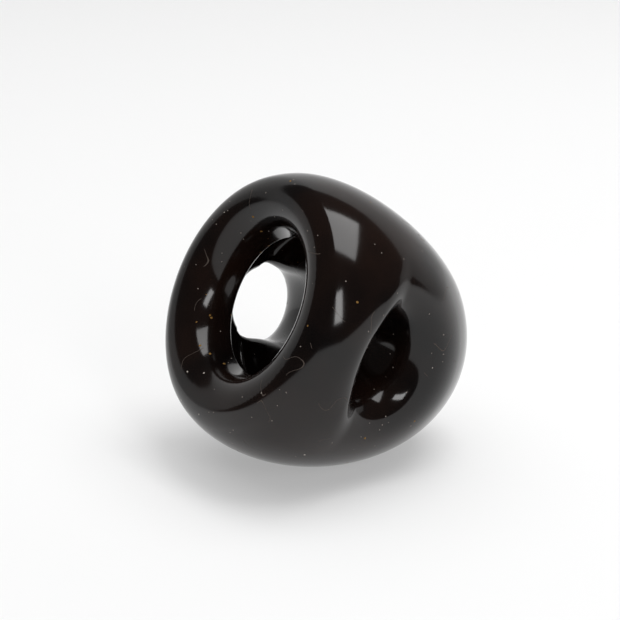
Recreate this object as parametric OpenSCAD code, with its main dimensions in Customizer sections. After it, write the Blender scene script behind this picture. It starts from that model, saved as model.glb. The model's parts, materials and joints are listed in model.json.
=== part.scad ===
// Soft one-piece moulded grip ball with a through hole.
// A fat rolled ring faces forward (-Y) and leans back; a broad strap arches from the ring's top
// round behind it to its bottom, which leaves a window on each side (+X and -X).
// The real thing is one moulding. Its regions are cut here along flat planes that touch face to
// face, so that each keeps a simple shape. Millimetres, +Z up, origin at the resting spot.

/* [Body] */
// Outside diameter of the body at its widest
body_d = 65; // [63:0.5:67]
// Half length of the egg-shaped outline, along the ring's axis
body_half_l = 42; // [41:0.5:43]
// Distance of the widest section behind the throat
widest_back = 10.5; // [9.5:0.5:11.5]
// Lean of the ring's face from upright, in degrees
lean = 26; // [24:1:28]
// Depth of the flat spot that the body rests on
rest_depth = 0.8; // [0.6:0.1:1]

/* [Ring] */
// Diameter of the hole at the throat
throat_d = 32; // [31:0.5:33]
// Length of the throat's plain wall
land_l = 3; // [2:0.5:4]
// Radius of the rolled ring's crown, the circle that stands furthest forward
crown_r = 24; // [23:0.5:25]
// Height of the crown in front of the throat
lip_h = 8.8; // [8.2:0.2:9.4]
// Roll behind the throat, on the radius
back_roll_r = 4; // [3:0.5:5]
// Distance of the ring's flat back behind the throat
ring_back = 6; // [5.5:0.5:6.5]
// Depth of the round hollow behind the throat, which opens into the windows
hollow_back = 9; // [8.5:0.5:9.5]

/* [Windows] */
// Height of the side windows
window_h = 18; // [16:1:20]
// Length of the windows from the ring's back to the strap
window_l = 15; // [14:1:17]
// Radius of the two corners beside the ring
window_corner_r = 5; // [4:1:6]
// How far the windows sit below the ring's axis
window_drop = 1; // [0.5:0.5:2]
// Radius of the ball-shaped hollow that flares each window's mouth
flare_r = 26; // [24:1:28]
// How deep that hollow reaches in from the widest section
flare_depth = 8; // [7:0.5:9]

/* [Hidden] */

body_r = body_d / 2;
throat_r = throat_d / 2;
hollow_r = throat_r + back_roll_r;
reach = 2 * body_d;        // larger than the body, for cutting blocks
step = 5;                  // angle between the points of a curved outline
$fn = 96;

// Height of the body's centre line above the floor before the flat is cut, and the spot it rests on
drop = sqrt(pow(body_half_l * sin(lean), 2) + pow(body_r * cos(lean), 2));
throat_z = widest_back * sin(lean) + drop - rest_depth;
rest_up = -pow(body_r, 2) * cos(lean) / drop;
rest_back = widest_back + pow(body_half_l, 2) * sin(lean) / drop;
throat_y = -(rest_up * sin(lean) + rest_back * cos(lean));

// Plane where the ring ends and the strap begins, behind the rounded corners of the windows
split = -ring_back - window_corner_r;
// Middle of the windows along the ring's axis
window_mid = -ring_back - window_l / 2;

// Ring frame: x sideways, y up the ring's face, z out of its front, zero at the throat
module in_place() {
    translate([0, throat_y, throat_z]) rotate([90 - lean, 0, 0]) children();
}

// Half outline: an egg behind its widest section, then a quarter round up to the ring's crown,
// a quarter round down into the throat, the plain land, the roll behind it and the hollow
module body_outline() {
    polygon(concat(
        [for (t = [180 : -step : 90]) [body_r * sin(t), body_half_l * cos(t) - widest_back]],
        [for (t = [step : step : 90]) [
            crown_r + (body_r - crown_r) * cos(t),
            (lip_h + widest_back) * sin(t) - widest_back]],
        [for (t = [90 + step : step : 180]) [
            crown_r + (crown_r - throat_r) * cos(t), lip_h * sin(t)]],
        [for (t = [0 : 3 * step : 90]) [
            hollow_r - back_roll_r * cos(t),
            -land_l - (ring_back - land_l) * sin(t)]],
        [[hollow_r, -hollow_back], [0, -hollow_back]]
    ));
}

// Side window's D, drawn as (up, out of the front): straight side at the ring, arch behind
module window_outline() {
    half_h = window_h / 2;
    r = window_corner_r;
    polygon(concat(
        [for (t = [90 : -3 * step : 0]) [half_h - r + r * cos(t), -ring_back - r + r * sin(t)]],
        [for (t = [step : step : 180 - step])
            [half_h * cos(t), -ring_back - r - (window_l - r) * sin(t)]],
        [for (t = [180 : -3 * step : 90]) [r - half_h + r * cos(t), -ring_back - r + r * sin(t)]]
    ));
}

// Carries a side-view outline right across the body
module across() {
    rotate([90, 0, 90]) translate([0, 0, -reach / 2]) linear_extrude(reach) children();
}

// Ball that hollows out one window's mouth; side is 1 for +X and -1 for -X
module flare(side) {
    translate([side * (body_r - flare_depth + flare_r), -window_drop, window_mid]) sphere(flare_r);
}

// The whole moulding, with its hole, its flared windows and the flat spot that it rests on
module moulding() {
    difference() {
        in_place() difference() {
            rotate_extrude() body_outline();
            across() translate([-window_drop, 0]) window_outline();
            flare(1);
            flare(-1);
        }
        translate([-reach / 2, -reach / 2, -reach]) cube(reach);
    }
}

// The part of the moulding inside a side-view outline
module region() {
    intersection() {
        moulding();
        in_place() across() children();
    }
}

// Side-view outlines of the regions: the back quarter opens from the middle of the windows
module back_quarter() {
    polygon([[-window_drop, window_mid], [-window_drop - reach, window_mid - reach],
             [-window_drop + reach, window_mid - reach]]);
}
// The strap's upper side, or with side = -1 its lower one, from the ring to the back quarter
module strap_side(side) {
    polygon([[-window_drop, split], [-window_drop + side * reach, split],
             [-window_drop + side * reach, window_mid - reach], [-window_drop, window_mid]]);
}

module front_ring() {
    color("#1c1614") region() translate([-reach / 2, split]) square(reach);
}

module upper_strap() {
    color("#1c1614") region() strap_side(1);
}

module rear_strap() {
    color("#1c1614") region() back_quarter();
}

module lower_strap() {
    color("#1c1614") region() strap_side(-1);
}

front_ring();
upper_strap();
rear_strap();
lower_strap();
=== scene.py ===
"""Looks of a soft one-piece grip ball: a fat rolled ring, a strap behind it and a window on each side.

The moulding is one smooth skin, so it is drawn as one piece that stands for all the CAD regions. Its
shape is a sum of soft blends between a few simple forms, in millimetres, in the ring's own frame:
f out of the ring's front, u up its face and s sideways, with zero in the middle of the throat.
"""
import json

import bpy
import numpy as np
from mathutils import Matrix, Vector


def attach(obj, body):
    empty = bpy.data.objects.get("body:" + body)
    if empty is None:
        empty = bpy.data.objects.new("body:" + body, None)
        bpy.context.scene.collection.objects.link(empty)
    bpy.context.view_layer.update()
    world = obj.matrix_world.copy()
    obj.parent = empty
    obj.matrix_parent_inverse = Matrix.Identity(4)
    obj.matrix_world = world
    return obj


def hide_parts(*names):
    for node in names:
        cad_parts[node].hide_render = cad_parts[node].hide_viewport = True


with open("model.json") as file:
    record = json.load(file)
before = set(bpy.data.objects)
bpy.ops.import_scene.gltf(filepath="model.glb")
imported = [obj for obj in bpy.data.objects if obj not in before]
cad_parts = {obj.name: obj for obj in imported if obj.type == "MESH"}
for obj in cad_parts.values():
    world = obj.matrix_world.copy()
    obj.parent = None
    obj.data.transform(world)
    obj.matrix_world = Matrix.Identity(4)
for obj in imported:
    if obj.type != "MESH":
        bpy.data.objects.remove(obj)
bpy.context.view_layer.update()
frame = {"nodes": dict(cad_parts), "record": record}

MM = 0.001
BODY = "root"

# ---------------------------------------------------------------- sizes, in mm
MOUNTS = {m["name"]: m for m in frame["record"]["mounts"]}
BORE = MOUNTS["throat_bore"]
FRONT = np.array(BORE["axis"])                   # out of the ring's face
SIDE = np.array([1.0, 0.0, 0.0])
UP_FACE = np.cross(FRONT, SIDE)                  # up the ring's face
THROAT = np.array(BORE["pos_m"]) / MM + FRONT * BORE["dims"]["length_mm"] / 2
THROAT_R = BORE["dims"]["r_mm"]
BODY_R = 32.6                                    # widest radius of the body
BODY_HALF_L = 43.0                               # egg's half length behind the widest section
WIDEST = -10.0                                   # widest section, behind the throat
EGG_POWER = 1.89                                 # 2 is an ellipse, less is more pointed
BODY_DROP = 0.85                                 # outline's centre below the throat's
LIP_H = 8.9                                      # crown of the rolled ring, in front of the throat
CROWN_R = 24.2                                   # and its radius
THROAT_F = -1.6                                  # narrowest place of the throat
BACK_ROLL = (6.5, 3.0)                           # roll behind the throat: on the radius, along the axis
RING_BACK = -5.7                                 # flat back of the ring, inside the windows
WINDOW_MID = (-12.5, 0.4)                        # middle of the windows: f, u
WINDOW_HALF = (8.5, 7.5)                         # half height and half length of their narrowest section
WINDOW_LEAN = np.radians(20.0)                   # how far that oval leans
ASIDE = 30.0                                     # this far sideways, the windows
WINDOW_DROOP = 3.5                               # have sunk by this much
WINDOW_SWEEP = 2.0                               # and moved back by this much
FLARE_BACK = 15.5                                # soft round at the windows' edges, on the strap's side
FLARE_RING = 11.0                                # and on the ring's side
WINDOW_CORNER = 8.0                              # soft corner between the windows and the ring's back
BACK_SLOPE = (-0.3, 0.954, 39.5)                 # plane that flattens the strap's top: f, u and distance
SLOPE_SOFT = 12.0                                # soft round where that plane meets the body
THROAT_SOFT = 3.0                                # soft round where the throat's hollow meets the windows
HOLLOW_SOFT = 4.0                                # and at the hollow's own edges
REST_SOFT = 1.5                                  # soft round at the edge of the resting spot
GRID = 0.75                                      # spacing of the net that carries the skin
TINY = 1e-6                                      # keeps divisions and powers away from zero


# ---------------------------------------------------------------- the moulding's form
def soft_max(a, b, k):
    """The larger of a and b, with the corner between them rounded over a width k."""
    h = np.clip(0.5 + 0.5 * (a - b) / k, 0, 1)
    return b * (1 - h) + a * h + k * h * (1 - h)


def from_ellipse(x, y, a, b):
    """Signed distance, near enough, from the ellipse with half axes a and b: (r - 1) / |grad r|,
    where r = hypot(x / a, y / b)."""
    nothing = TINY / 1000
    r = np.hypot(x / a, y / b) + nothing
    return (r - 1) * r / (np.hypot(x / a**2, y / b**2) + nothing)


def egg(f, rho):
    """Outside of the body: a quarter round in front of the widest section, and behind it a pointed
    egg, where (length / half length)^e + (radius / widest radius)^e = 1."""
    front = from_ellipse(np.maximum(rho - CROWN_R, TINY), f - WIDEST, BODY_R - CROWN_R, LIP_H - WIDEST)
    front = np.where(rho > CROWN_R, front, f - LIP_H)
    e = EGG_POWER
    x, y = np.abs(f - WIDEST) / BODY_HALF_L + TINY, rho / BODY_R + TINY
    r = (x**e + y**e) ** (1 / e)
    slope = np.hypot(x ** (e - 1) / BODY_HALF_L, y ** (e - 1) / BODY_R) / r ** (e - 1)
    return np.where(f > WIDEST, front, (r - 1) / slope)


def throat(f, rho):
    """The hole: outside of a quarter round from crown to throat, and of a smaller one behind it, and
    then a round hollow that reaches to twice the depth of the ring's back."""
    lip = from_ellipse(np.maximum(CROWN_R - rho, TINY), np.maximum(f - THROAT_F, TINY),
                       CROWN_R - THROAT_R, LIP_H - THROAT_F)
    lip = np.where(rho < CROWN_R, lip, f - LIP_H)
    edge = THROAT_R + BACK_ROLL[0]
    back = from_ellipse(np.maximum(edge - rho, TINY), np.maximum(THROAT_F - f, TINY), *BACK_ROLL)
    back = soft_max(soft_max(-back, rho - edge, HOLLOW_SOFT), 2 * RING_BACK - f, HOLLOW_SOFT)
    return np.where(f > THROAT_F, -lip, back)


def windows(f, u, s):
    """The way through from side to side: a leaning oval, cut straight along the ring's back. Its
    middle sinks and moves back with the square of the distance sideways."""
    bend = (s / ASIDE) ** 2
    a = f - WINDOW_MID[0] + WINDOW_SWEEP * bend
    b = u - WINDOW_MID[1] + WINDOW_DROOP * bend
    along, across = np.cos(WINDOW_LEAN), np.sin(WINDOW_LEAN)
    oval = from_ellipse(b * along + a * across, a * along - b * across, *WINDOW_HALF)
    return soft_max(oval, f - RING_BACK, WINDOW_CORNER)


def form(p):
    """Less than zero inside the moulding: the body, less the windows, the hole and what is below the
    floor. p is an array of points (f, u, s)."""
    f, u, s = p[..., 0], p[..., 1], p[..., 2]
    toward_ring = np.clip((f - WINDOW_MID[0]) / (RING_BACK - WINDOW_MID[0]), 0, 1)
    toward_ring = toward_ring**2 * (3 - 2 * toward_ring)
    flare = FLARE_BACK + (FLARE_RING - FLARE_BACK) * toward_ring
    body = egg(f, np.hypot(u + BODY_DROP, s))
    body = soft_max(body, BACK_SLOPE[0] * f + BACK_SLOPE[1] * u - BACK_SLOPE[2], SLOPE_SOFT)
    body = soft_max(body, -windows(f, u, s), flare)
    body = soft_max(body, -throat(f, np.hypot(u, s)), THROAT_SOFT)
    height = THROAT[2] + f * FRONT[2] + u * UP_FACE[2]
    return soft_max(body, -height, REST_SOFT)


def slope(p, step=0.05):
    """Gradient of the form by central differences."""
    out = np.empty_like(p)
    for axis in range(3):
        d = np.zeros(3)
        d[axis] = step
        out[:, axis] = (form(p + d) - form(p - d)) / (2 * step)
    return out


# ---------------------------------------------------------------- a net over the form
def net_over(low, high, spacing):
    """Surface net: each grid cell that the surface crosses gets one point, the mean of the places
    where it cuts the cell's edges, and each grid edge that it crosses gets a quad of four cells."""
    axes = [np.arange(a, b + spacing, spacing) for a, b in zip(low, high)]
    value = form(np.stack(np.meshgrid(*axes, indexing="ij"), -1))
    inside = value < 0
    cells = tuple(n - 1 for n in value.shape)
    total, count = np.zeros(cells + (3,)), np.zeros(cells)

    def corner(array, c):
        return array[tuple(slice(i, i + n) for i, n in zip(c, cells))]

    for axis in range(3):
        for other in range(4):
            a = [0, 0, 0]
            a[(axis + 1) % 3], a[(axis + 2) % 3] = other % 2, other // 2
            b = list(a)
            b[axis] = 1
            va, vb = corner(value, a), corner(value, b)
            cut = corner(inside, a) != corner(inside, b)
            t = np.where(cut, va / np.where(cut, va - vb, 1), 0)
            for k in range(3):
                total[..., k] += np.where(cut, a[k] + (t if k == axis else 0), 0)
            count += cut
    used = count > 0
    index = np.full(cells, -1)
    index[used] = np.arange(used.sum())
    base = np.stack(np.nonzero(used), -1) + total[used] / count[used][:, None]
    points = np.array([a[0] for a in axes]) + base * spacing

    quads = []
    for axis in range(3):
        i, j = (axis + 1) % 3, (axis + 2) % 3
        lo = [slice(1, n) for n in cells]
        lo[axis] = slice(0, cells[axis])
        up = list(lo)
        up[axis] = slice(1, cells[axis] + 1)
        a, b = inside[tuple(lo)], inside[tuple(up)]
        around = []
        for di, dj in ((1, 1), (0, 1), (0, 0), (1, 0)):
            near = list(lo)
            near[i] = slice(1 - di, cells[i] - di)
            near[j] = slice(1 - dj, cells[j] - dj)
            around.append(index[tuple(near)])
        quad = np.stack(around, -1)
        quads.append(quad[b & ~a])
        quads.append(quad[a & ~b][:, ::-1])
    return points, np.concatenate(quads)


def settle(points, quads, rounds=6):
    """Evens the net out: points move to the mean of their neighbours, then back onto the form."""
    ends = np.concatenate([quads[:, [i, (i + 1) % 4]] for i in range(4)])
    degree = np.bincount(ends[:, 0], minlength=len(points))[:, None]
    for turn in range(rounds):
        if turn < rounds - 2:
            mean = np.stack([np.bincount(ends[:, 0], points[ends[:, 1], k], len(points))
                             for k in range(3)], -1)
            points = 0.5 * points + 0.5 * mean / degree
        g = slope(points)
        points = points - g * (form(points) / np.maximum((g * g).sum(1), TINY))[:, None]
    return points


def to_row(points):
    """Ring frame in mm to the row frame in metres."""
    return (THROAT + points @ np.stack([FRONT, UP_FACE, SIDE])) * MM


def new_piece(name, points, faces, normals=None):
    """A mesh object from whole arrays of points and faces, smooth, with its own normals if given."""
    mesh = bpy.data.meshes.new(name)
    mesh.from_pydata(points, [], faces.tolist())
    mesh.polygons.foreach_set("use_smooth", np.ones(len(mesh.polygons), bool))
    if normals is not None:
        mesh.normals_split_custom_set_from_vertices(normals)
    mesh.update()
    piece = bpy.data.objects.new(name, mesh)
    bpy.context.scene.collection.objects.link(piece)
    return piece


def make_moulding():
    """The whole soft moulding, as one continuous skin."""
    edge = 2 * GRID
    low = (WIDEST - BODY_HALF_L - edge, -BODY_R - edge, -BODY_R - edge)
    high = (LIP_H + edge, BODY_R + edge, BODY_R + edge)
    points, quads = net_over(low, high, GRID)
    points = settle(points, quads)
    out = slope(points)
    out = (out / np.linalg.norm(out, axis=1, keepdims=True)) @ np.stack([FRONT, UP_FACE, SIDE])
    return new_piece("moulding", to_row(points), quads, out)


# ---------------------------------------------------------------- materials
# Noise scales are waves per metre; the real size of what each one draws is beside it.
CLOUD_WAVES = 45.0                               # clouding in the melt, about 22 mm
SMEAR_WAVES = 60.0                               # finger smears, about 17 mm
RIPPLE_WAVES = 160.0                             # moulding ripple, about 6 mm
RAGGED_WAVES = 900.0                             # ragged edges of the specks, about 1 mm
GLOSS_CLEAN, GLOSS_SMEARED = 0.07, 0.16          # roughness of a wet gloss, clean and smeared
GLOSS_INSIDE = 0.34                              # roughness inside the windows, duller there for the look
GLOSS_DIRT = 0.8                                 # roughness of dust and lint
INSIDE_FULL, INSIDE_GONE = 13.0, 21.0            # mm from the middle: full dullness to here, none past here
GOLDEN_REACH = 20.5                              # mm round the throat, where golden flecks are denser


def linear(code):
    """sRGB hex colour to linear RGBA."""
    c = np.array([int(code[i:i + 2], 16) for i in (1, 3, 5)]) / 255
    c = np.where(c <= 0.04045, c / 12.92, ((c + 0.055) / 1.055) ** 2.4)
    return (*c.tolist(), 1.0)


def add(tree, kind, settings=None, inputs=None, links=None):
    """Adds a node; settings are its properties, inputs its socket values and links its sources, in
    which a node stands for its first output."""
    node = tree.nodes.new(kind)
    for key, value in (settings or {}).items():
        setattr(node, key, value)
    for key, value in (inputs or {}).items():
        node.inputs[key].default_value = value
    for key, source in (links or {}).items():
        tree.links.new(getattr(source, "outputs", [source])[0], node.inputs[key])
    return node


def new_material(name):
    """An empty node material, its tree and its output node."""
    material = bpy.data.materials.new(name)
    material.use_nodes = True
    tree = material.node_tree
    tree.nodes.clear()
    return material, tree, add(tree, "ShaderNodeOutputMaterial")


def specks(tree, place, spacing, size, share):
    """1 inside small ragged specks: cells of about spacing millimetres, of which a share holds one
    of up to size millimetres across, else 0."""
    warp = add(tree, "ShaderNodeTexNoise", inputs={"Scale": RAGGED_WAVES}, links={"Vector": place})
    jitter = add(tree, "ShaderNodeVectorMath", {"operation": "MULTIPLY_ADD"}, {1: (size * MM,) * 3},
                 {0: warp.outputs["Color"], 2: place})
    cells = add(tree, "ShaderNodeTexVoronoi", inputs={"Scale": 1 / (spacing * MM)}, links={"Vector": jitter})
    draw = add(tree, "ShaderNodeSeparateColor", links={"Color": cells.outputs["Color"]})
    near = add(tree, "ShaderNodeMath", {"operation": "LESS_THAN"}, {1: size / spacing / 2}, {0: cells})
    chosen = add(tree, "ShaderNodeMath", {"operation": "LESS_THAN"}, {1: share}, {0: draw})
    return add(tree, "ShaderNodeMath", {"operation": "MULTIPLY"}, links={0: near, 1: chosen})


def hairs(tree, place, curl, width, patch, cover):
    """1 along thin curly lines, the level lines of a noise of curl millimetres, in patches of patch
    millimetres where a second noise is over cover."""
    field = add(tree, "ShaderNodeTexNoise", inputs={"Scale": 1 / (curl * MM), "Detail": 0.0},
                links={"Vector": place})
    mask = add(tree, "ShaderNodeTexNoise", inputs={"Scale": 1 / (patch * MM), "Detail": 0.0},
               links={"Vector": place})
    above = add(tree, "ShaderNodeMath", {"operation": "SUBTRACT"}, {1: 0.5}, {0: field})
    off = add(tree, "ShaderNodeMath", {"operation": "ABSOLUTE"}, links={0: above})
    line = add(tree, "ShaderNodeMath", {"operation": "LESS_THAN"}, {1: width / curl}, {0: off})
    inside = add(tree, "ShaderNodeMath", {"operation": "GREATER_THAN"}, {1: cover}, {0: mask})
    return add(tree, "ShaderNodeMath", {"operation": "MULTIPLY"}, links={0: line, 1: inside})


def smoky_elastomer():
    """Moulded styrenic elastomer, tinted almost black: a wet gloss over a brown-black body, with
    bench dust, lint and a few golden flecks, because a soft tacky skin holds whatever touches it."""
    material, tree, out = new_material("smoky_black_elastomer")
    place = add(tree, "ShaderNodeTexCoord").outputs["Object"]
    cloud = add(tree, "ShaderNodeTexNoise", inputs={"Scale": CLOUD_WAVES, "Detail": 3.0},
                links={"Vector": place})
    tint = add(tree, "ShaderNodeValToRGB", links={"Fac": cloud})
    ends = tint.color_ramp.elements
    ends[0].position, ends[0].color = 0.35, linear("#080606")
    ends[1].position, ends[1].color = 0.75, linear("#1f130e")

    # golden flecks: a few everywhere, and more round the throat
    few = specks(tree, place, spacing=4.2, size=0.5, share=0.12)
    more = specks(tree, place, spacing=2.2, size=0.6, share=0.35)
    from_throat = add(tree, "ShaderNodeVectorMath", {"operation": "DISTANCE"},
                      {1: (THROAT * MM).tolist()}, {0: place})
    near_throat = add(tree, "ShaderNodeMath", {"operation": "LESS_THAN"}, {1: GOLDEN_REACH * MM},
                      {0: from_throat.outputs["Value"]})
    more = add(tree, "ShaderNodeMath", {"operation": "MULTIPLY"}, links={0: near_throat, 1: more})
    golden = add(tree, "ShaderNodeMath", {"operation": "MAXIMUM"}, links={0: few, 1: more})

    # dirt lies over the body in this order, each with its own colour
    fine_dust = specks(tree, place, spacing=1.9, size=0.28, share=0.5)
    pale_grit = specks(tree, place, spacing=4.5, size=0.42, share=0.35)
    lint = hairs(tree, place, curl=6.0, width=0.03, patch=8.0, cover=0.68)
    body, dirt = tint.outputs["Color"], fine_dust
    for cover, colour in ((fine_dust, "#857d76"), (pale_grit, "#c4bcb2"), (golden, "#7a5a26"),
                          (lint, "#4b423c")):
        body = add(tree, "ShaderNodeMix", {"data_type": "RGBA"}, {7: linear(colour)},
                   {0: cover, 6: body}).outputs[2]
        dirt = add(tree, "ShaderNodeMath", {"operation": "MAXIMUM"}, links={0: dirt, 1: cover})

    # roughness: the largest of smears, dirt and the dullness inside the windows
    smear = add(tree, "ShaderNodeTexNoise", inputs={"Scale": SMEAR_WAVES, "Detail": 4.0},
                links={"Vector": place})
    smeared = add(tree, "ShaderNodeMapRange", inputs={"To Min": GLOSS_CLEAN, "To Max": GLOSS_SMEARED},
                  links={"Value": smear})
    dirty = add(tree, "ShaderNodeMath", {"operation": "MULTIPLY"}, {1: GLOSS_DIRT}, {0: dirt})
    middle = (THROAT + FRONT * WINDOW_MID[0]) * MM
    from_middle = add(tree, "ShaderNodeVectorMath", {"operation": "DISTANCE"}, {1: middle.tolist()},
                      {0: place})
    dull = add(tree, "ShaderNodeMapRange", inputs={
        "From Min": INSIDE_FULL * MM, "From Max": INSIDE_GONE * MM,
        "To Min": GLOSS_INSIDE, "To Max": 0.0}, links={"Value": from_middle.outputs["Value"]})
    gloss = add(tree, "ShaderNodeMath", {"operation": "MAXIMUM"}, links={0: smeared, 1: dirty})
    gloss = add(tree, "ShaderNodeMath", {"operation": "MAXIMUM"}, links={0: gloss, 1: dull})

    ripple = add(tree, "ShaderNodeTexNoise", inputs={"Scale": RIPPLE_WAVES, "Detail": 1.0},
                 links={"Vector": place})
    bump = add(tree, "ShaderNodeBump", inputs={"Strength": 0.04, "Distance": 0.6 * MM},
               links={"Height": ripple})
    # such elastomers are near 1.5; it is lowered here until the pale reflections are dim enough
    skin = add(tree, "ShaderNodeBsdfPrincipled", inputs={"IOR": 1.43},
               links={"Base Color": body, "Roughness": gloss, "Normal": bump})
    tree.links.new(skin.outputs["BSDF"], out.inputs["Surface"])
    return material


def pale_paper():
    """Seamless white studio paper, matt, with a little glow for the light that a white room returns."""
    material, tree, out = new_material("studio_paper")
    paper = add(tree, "ShaderNodeBsdfPrincipled", inputs={
        "Base Color": linear("#bcbcbc"), "Roughness": 0.9,
        "Emission Color": linear("#ffffff"), "Emission Strength": 0.36})
    tree.links.new(paper.outputs["BSDF"], out.inputs["Surface"])
    return material


# ---------------------------------------------------------------- studio
AZIMUTH, ELEVATION = np.radians(55.0), np.radians(18.0)
CAMERA_RIGHT = np.array([np.cos(AZIMUTH), np.sin(AZIMUTH), 0.0])
CAMERA_BACK = np.array([np.sin(AZIMUTH) * np.cos(ELEVATION), -np.cos(AZIMUTH) * np.cos(ELEVATION),
                        np.sin(ELEVATION)])
CAMERA_UP = np.cross(CAMERA_BACK, CAMERA_RIGHT)
CAMERA_DISTANCE = 0.3752                         # metres
LENS, SENSOR = 98.7, 36.0
AIM_RIGHT, AIM_DOWN = 8.94, 1.15                 # mm from the throat to the middle of the frame
AIM = THROAT * MM + (CAMERA_RIGHT * AIM_RIGHT - CAMERA_UP * AIM_DOWN) * MM
LAMP_AIM = np.array([0, 0, 0.03])                # metres, near the middle of the object


def facing(direction):
    """Rotation that looks back along a direction, for a camera or a lamp placed out along it."""
    return Vector(direction).to_track_quat("Z", "Y")


def make_camera():
    """Camera a little above the object, between its front and its +X side, level sideways."""
    data = bpy.data.cameras.new("camera")
    data.lens, data.sensor_width = LENS, SENSOR
    camera = bpy.data.objects.new("camera", data)
    camera.location = AIM + CAMERA_BACK * CAMERA_DISTANCE
    camera.rotation_euler = facing(CAMERA_BACK).to_euler()
    bpy.context.scene.collection.objects.link(camera)
    bpy.context.scene.camera = camera


def softbox(name, direction, distance, size, power):
    """A rectangular soft lamp out along a direction, facing the object."""
    data = bpy.data.lights.new(name, "AREA")
    data.shape, data.size, data.size_y, data.energy = "RECTANGLE", size[0], size[1], power
    lamp = bpy.data.objects.new(name, data)
    direction = np.array(direction) / np.linalg.norm(direction)
    lamp.location = direction * distance + LAMP_AIM
    lamp.rotation_euler = facing(direction).to_euler()
    bpy.context.scene.collection.objects.link(lamp)
    return lamp


def make_sweep():
    """Paper sweep: a floor that turns up into a wall behind the object. Its profile is two straight
    lines and a quarter round of radius turn between them, carried sideways. Metres."""
    front, back, turn, wall, width = 1.6, 1.2, 0.5, 1.8, 7.0
    t = np.radians(np.arange(0, 91, 5))
    run = np.concatenate([[-front], back + turn * np.sin(t), [back + turn]])
    rise = np.concatenate([[0], turn * (1 - np.cos(t)), [wall]])
    away = -CAMERA_BACK * [1, 1, 0]
    away /= np.linalg.norm(away)
    across = np.linspace(-width, width, 9)
    points = (run[:, None, None] * away + rise[:, None, None] * [0, 0, 1]
              + across[None, :, None] * CAMERA_RIGHT).reshape(-1, 3)
    i, j = np.meshgrid(np.arange(len(run) - 1), np.arange(len(across) - 1), indexing="ij")
    first = (i * len(across) + j).ravel()
    quads = np.stack([first, first + len(across), first + len(across) + 1, first + 1], -1)
    sweep = new_piece("paper_sweep", points, quads[:, ::-1])
    sweep.data.materials.append(pale_paper())


def make_room():
    """Dim room all round, which the gloss sees from the camera's side."""
    world = bpy.data.worlds.new("room")
    world.use_nodes = True
    world.node_tree.nodes["Background"].inputs["Color"].default_value = linear("#ffffff")
    world.node_tree.nodes["Background"].inputs["Strength"].default_value = 0.06
    bpy.context.scene.world = world


make_camera()
make_room()
make_sweep()
softbox("overhead_softbox", direction=(0.148, 0.281, 0.946), distance=1.2, size=(0.8, 0.8), power=9.0)
softbox("front_strip", direction=(0.876, -0.149, 0.457), distance=1.2, size=(0.22, 0.5), power=2.7)
# lights the paper and fills the shadow, and would show as a white ceiling in the gloss
ceiling = softbox("ceiling_fill", direction=(0, 0, 1), distance=2.5, size=(4.0, 4.0), power=60.0)
ceiling.visible_glossy = False
bpy.context.scene.view_settings.view_transform = "Standard"

moulding = make_moulding()
moulding.data.materials.append(smoky_elastomer())
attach(moulding, BODY)
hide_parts(*sorted(frame["nodes"]))
